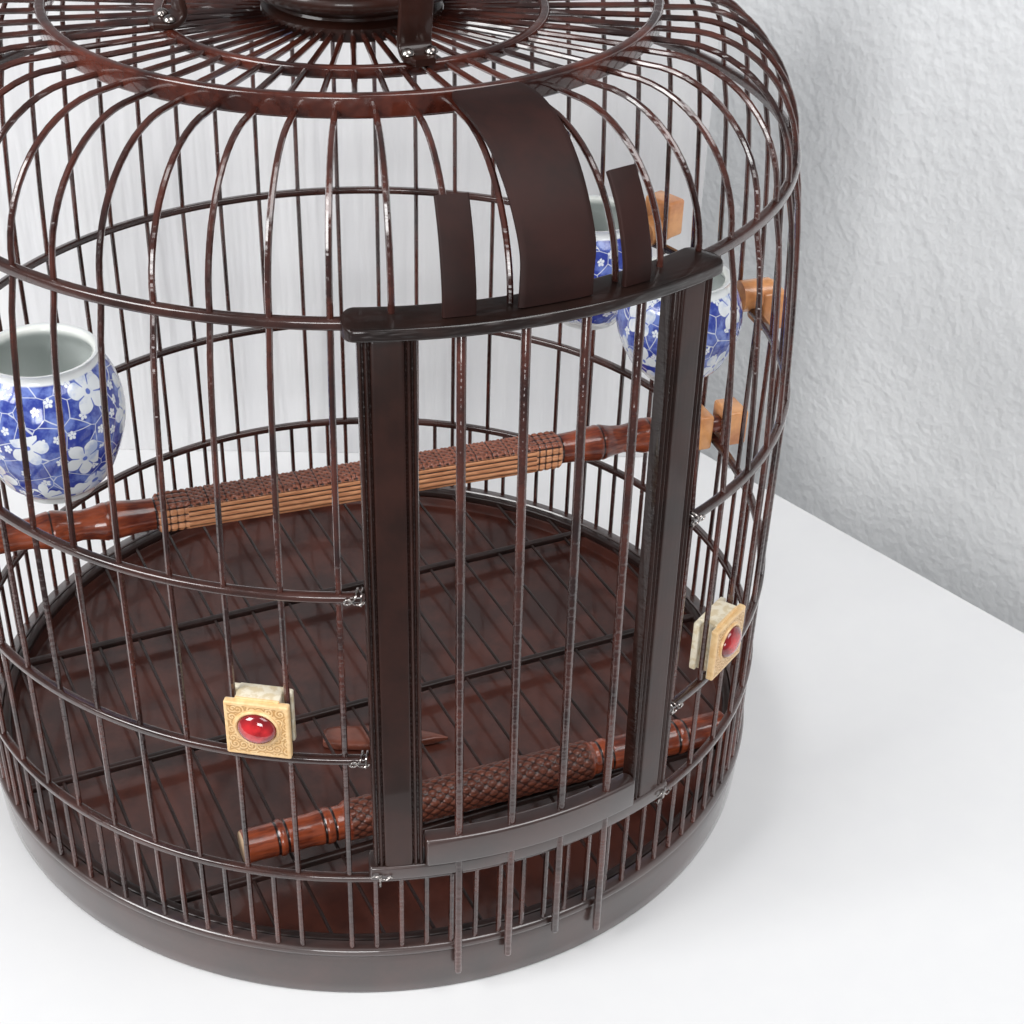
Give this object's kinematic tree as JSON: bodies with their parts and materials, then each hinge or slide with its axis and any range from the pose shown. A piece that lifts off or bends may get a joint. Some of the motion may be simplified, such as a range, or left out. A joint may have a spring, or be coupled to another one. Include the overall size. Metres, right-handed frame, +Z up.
{
  "type": "hanging bird cage",
  "caption": "Round lacquered bar cage with a lifting barred door, plank-ring crown, hook, perches, hanging cups and a slatted floor over a tray.",
  "frame": {"origin": "middle of the bounding box, on the plane that the base ring stands on", "axes": "+Z up; the door faces -Y; +X to the right of someone who faces the door"},
  "size_m": [0.4107, 0.3885, 0.4731],
  "materials": {
    "bar_lacquer": "glossy dark red-brown lacquer on thin split bamboo bars",
    "frame_lacquer": "glossy dark brown lacquer",
    "plank_lacquer": "high-gloss red-brown lacquer",
    "fascia_lacquer": "satin dark maroon lacquer",
    "tray_board": "satin brown varnish",
    "rosewood": "carved red-brown wood, varnished",
    "block_wood": "varnished orange wood",
    "porcelain": "white glaze with cobalt blue cracked-ice and blossom painting",
    "clip_bone": "cream, with a tan engraved face",
    "ruby": "polished red cabochon",
    "silver": "bright steel wire and screws",
    "hook_steel": "satin steel"
  },
  "bodies": {
    "cage": {"base_ring": "frame_lacquer", "claw_1": "frame_lacquer", "claw_1_screw_a": "silver", "claw_1_screw_b": "silver", "claw_2": "frame_lacquer", "claw_2_screw_a": "silver", "claw_2_screw_b": "silver", "claw_3": "frame_lacquer", "claw_3_screw_a": "silver", "claw_3_screw_b": "silver", "claw_4": "frame_lacquer", "claw_4_screw_a": "silver", "claw_4_screw_b": "silver", "crown_hub": "frame_lacquer", "cup_far": "porcelain", "cup_left": "porcelain", "cup_right": "porcelain", "dome_panel_1": "bar_lacquer", "dome_panel_2": "bar_lacquer", "dome_panel_3": "bar_lacquer", "dome_panel_4": "bar_lacquer", "dome_panel_5": "bar_lacquer", "door_header": "frame_lacquer", "door_post_left": "frame_lacquer", "door_post_right": "frame_lacquer", "door_sill": "frame_lacquer", "ear_left": "fascia_lacquer", "ear_right": "fascia_lacquer", "fascia": "fascia_lacquer", "floor_grid": "bar_lacquer", "floor_tray": "tray_board", "hook_collar": "frame_lacquer", "lower_perch": "rosewood", "plank_ring": "plank_lacquer", "ray_crown": "bar_lacquer", "sill_bars": "bar_lacquer", "staple_left": "silver", "staple_right": "silver", "tie_lower_left": "silver", "tie_lower_right": "silver", "tie_upper_left": "silver", "tie_upper_right": "silver", "upper_perch": "rosewood", "wall_panel_1": "bar_lacquer", "wall_panel_2": "bar_lacquer", "wall_panel_3": "bar_lacquer", "wall_panel_4": "bar_lacquer", "wall_panel_5": "bar_lacquer"},
    "door": {"door": "frame_lacquer"},
    "hook": {"hook": "hook_steel"},
    "tray_knob": {"tray_knob": "tray_board"},
    "clip_left": {"clip_left": "clip_bone", "gem_left": "ruby"},
    "clip_right": {"clip_right": "clip_bone", "gem_right": "ruby"},
    "cup_block_left": {"cup_block_left": "block_wood"},
    "cup_block_right": {"cup_block_right": "block_wood"},
    "cup_block_far": {"cup_block_far": "block_wood"},
    "perch_block_left": {"perch_block_left": "block_wood"},
    "perch_block_right": {"perch_block_right": "block_wood"}
  },
  "joints": [
    {"name": "door_lift", "type": "slide", "parent": "cage", "child": "door", "axis": [0, 0.0175, 0.9998], "range_m": [0, 0.21]},
    {"name": "hook_swivel", "type": "hinge", "parent": "cage", "child": "hook", "pos_m": [-0.00076, 0.00251, 0.4321], "axis": [0, 0, 1], "continuous": true},
    {"name": "tray_knob_turn", "type": "hinge", "parent": "cage", "child": "tray_knob", "pos_m": [-0.00876, -0.03949, 0.02], "axis": [0, 0, 1], "range_deg": [-90, 90]},
    {"name": "clip_left_slide", "type": "slide", "parent": "cage", "child": "clip_left", "axis": [0, 0, 1], "range_m": [0, 0.04]},
    {"name": "clip_right_slide", "type": "slide", "parent": "cage", "child": "clip_right", "axis": [0, 0, 1], "range_m": [0, 0.056]},
    {"name": "cup_block_left_turn", "type": "hinge", "parent": "cage", "child": "cup_block_left", "pos_m": [-0.19374, 0.00554, 0.21698], "axis": [-0.9999, 0.0157, 0], "range_deg": [-180, 180]},
    {"name": "cup_block_right_turn", "type": "hinge", "parent": "cage", "child": "cup_block_right", "pos_m": [0.19066, -0.02211, 0.21698], "axis": [0.9918, -0.1276, 0], "range_deg": [-180, 180]},
    {"name": "cup_block_far_turn", "type": "hinge", "parent": "cage", "child": "cup_block_far", "pos_m": [0.18239, 0.06339, 0.21698], "axis": [0.949, 0.3154, 0], "range_deg": [-180, 180]},
    {"name": "perch_block_left_turn", "type": "hinge", "parent": "cage", "child": "perch_block_left", "pos_m": [-0.18862, 0.02667, 0.14108], "axis": [0.9973, -0.0717, -0.014], "range_deg": [-180, 180]},
    {"name": "perch_block_right_turn", "type": "hinge", "parent": "cage", "child": "perch_block_right", "pos_m": [0.18862, -0.00046, 0.13579], "axis": [0.9973, -0.0717, -0.014], "range_deg": [-180, 180]}
  ]
}
